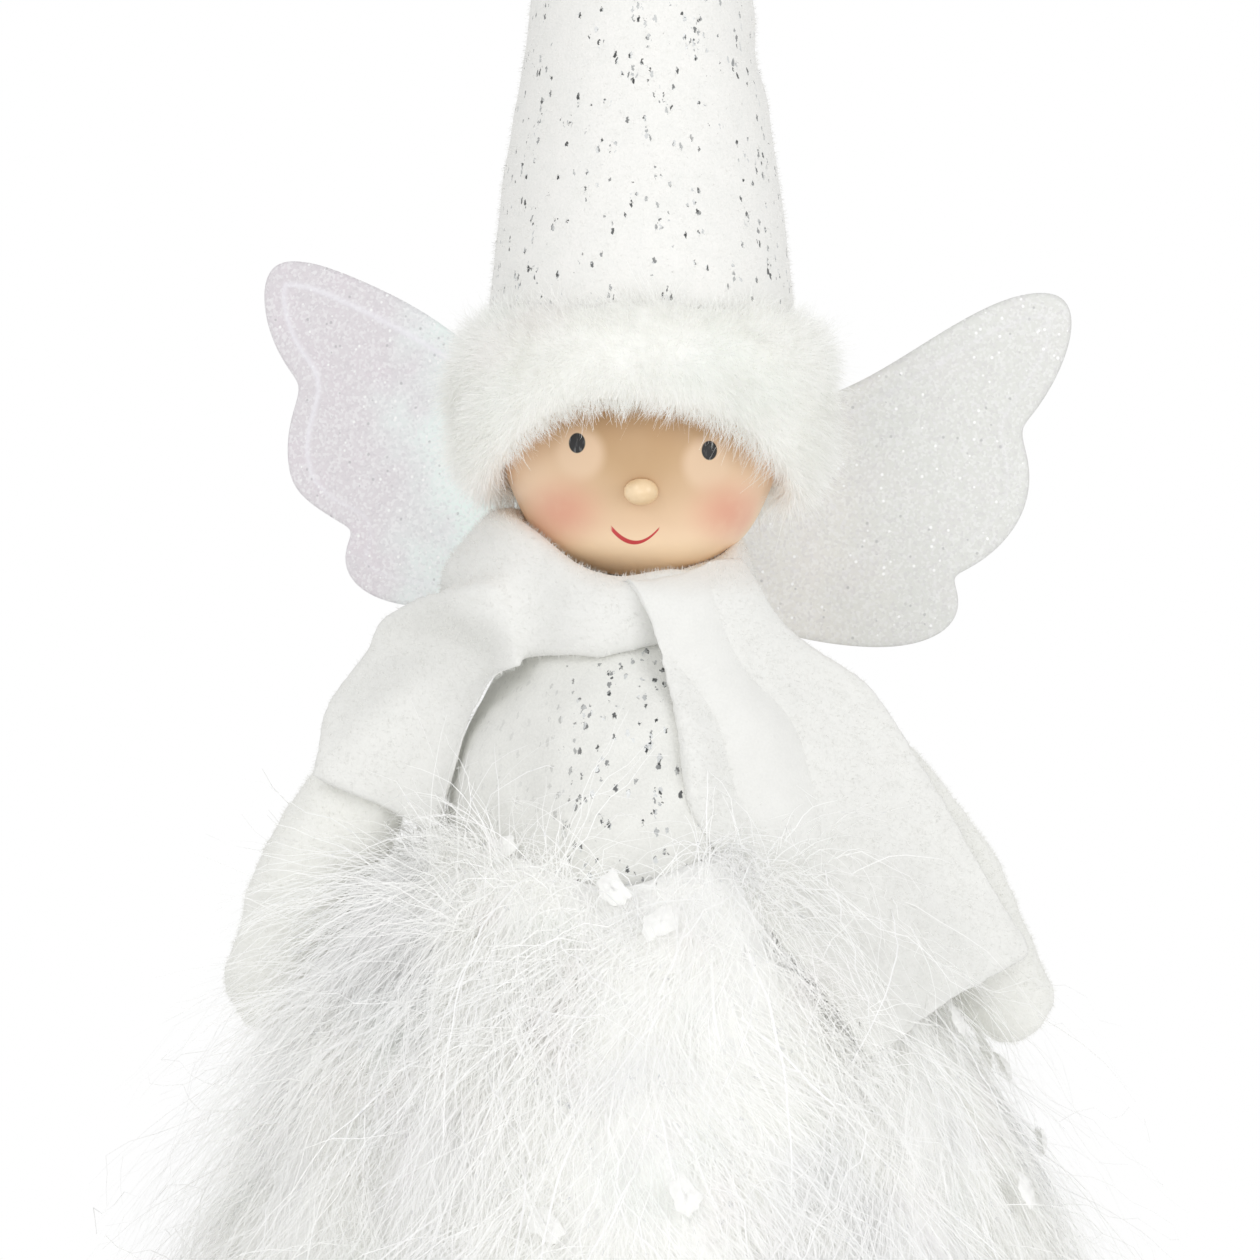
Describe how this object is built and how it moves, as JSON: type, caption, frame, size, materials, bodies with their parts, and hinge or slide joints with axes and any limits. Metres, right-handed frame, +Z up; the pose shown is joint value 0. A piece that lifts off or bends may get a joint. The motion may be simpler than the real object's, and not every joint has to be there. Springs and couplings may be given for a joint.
{
  "type": "angel figurine",
  "caption": "Standing plush angel in a tall pointed hat, fur brim, scarf and shaggy bell skirt, with arms that lift and glitter wings that fold back.",
  "frame": {"origin": "centre of the base's underside, on the table", "axes": "+Z up along the figure, -Y the way it faces, +X its own left side"},
  "size_m": [0.224, 0.224, 0.5],
  "materials": {
    "felt": "matte felt",
    "board": "raw",
    "sand_bag": "plain weave",
    "foam": "beaded foam",
    "beech": "raw",
    "flecked_fleece": "white fleece with grey flecks",
    "eyelash_pile": "long shiny pile",
    "fleece": "soft fleece",
    "painted_skin": "satin paint",
    "fibre_fill": "loose fill",
    "fur": "short fur",
    "glitter_sheet": "iridescent glitter"
  },
  "bodies": {
    "body": {"base_felt": "felt", "base_board": "board", "ballast_bag": "sand_bag", "body_core": "foam", "chest_block": "foam", "neck_stick": "beech", "bodice": "flecked_fleece", "skirt": "eyelash_pile", "scarf_wrap": "fleece", "scarf_left_tail": "fleece", "scarf_right_tail": "fleece", "head": "painted_skin", "nose": "painted_skin", "hat": "flecked_fleece", "hat_filling": "fibre_fill", "hat_brim": "fur", "wing_tab": "felt"},
    "left_arm": {"left_arm": "fleece"},
    "right_arm": {"right_arm": "fleece"},
    "left_wing": {"left_wing": "glitter_sheet"},
    "right_wing": {"right_wing": "glitter_sheet"}
  },
  "joints": [
    {"name": "left_arm_lift", "type": "hinge", "parent": "body", "child": "left_arm", "pos_m": [0.03992, 0, 0.20237], "axis": [0, -1, 0], "range_deg": [0, 60], "deforming": ["scarf_left_tail"]},
    {"name": "right_arm_lift", "type": "hinge", "parent": "body", "child": "right_arm", "pos_m": [-0.03992, 0, 0.20237], "axis": [0, 1, 0], "range_deg": [0, 60], "deforming": ["scarf_right_tail"]},
    {"name": "left_wing_fold", "type": "hinge", "parent": "body", "child": "left_wing", "pos_m": [0.00729, 0.04415, 0.23467], "axis": [0.0454, 0, 0.999], "range_deg": [-14, 54]},
    {"name": "right_wing_fold", "type": "hinge", "parent": "body", "child": "right_wing", "pos_m": [-0.00729, 0.04415, 0.23533], "axis": [-0.0454, 0, -0.999], "range_deg": [-26, 42]}
  ]
}
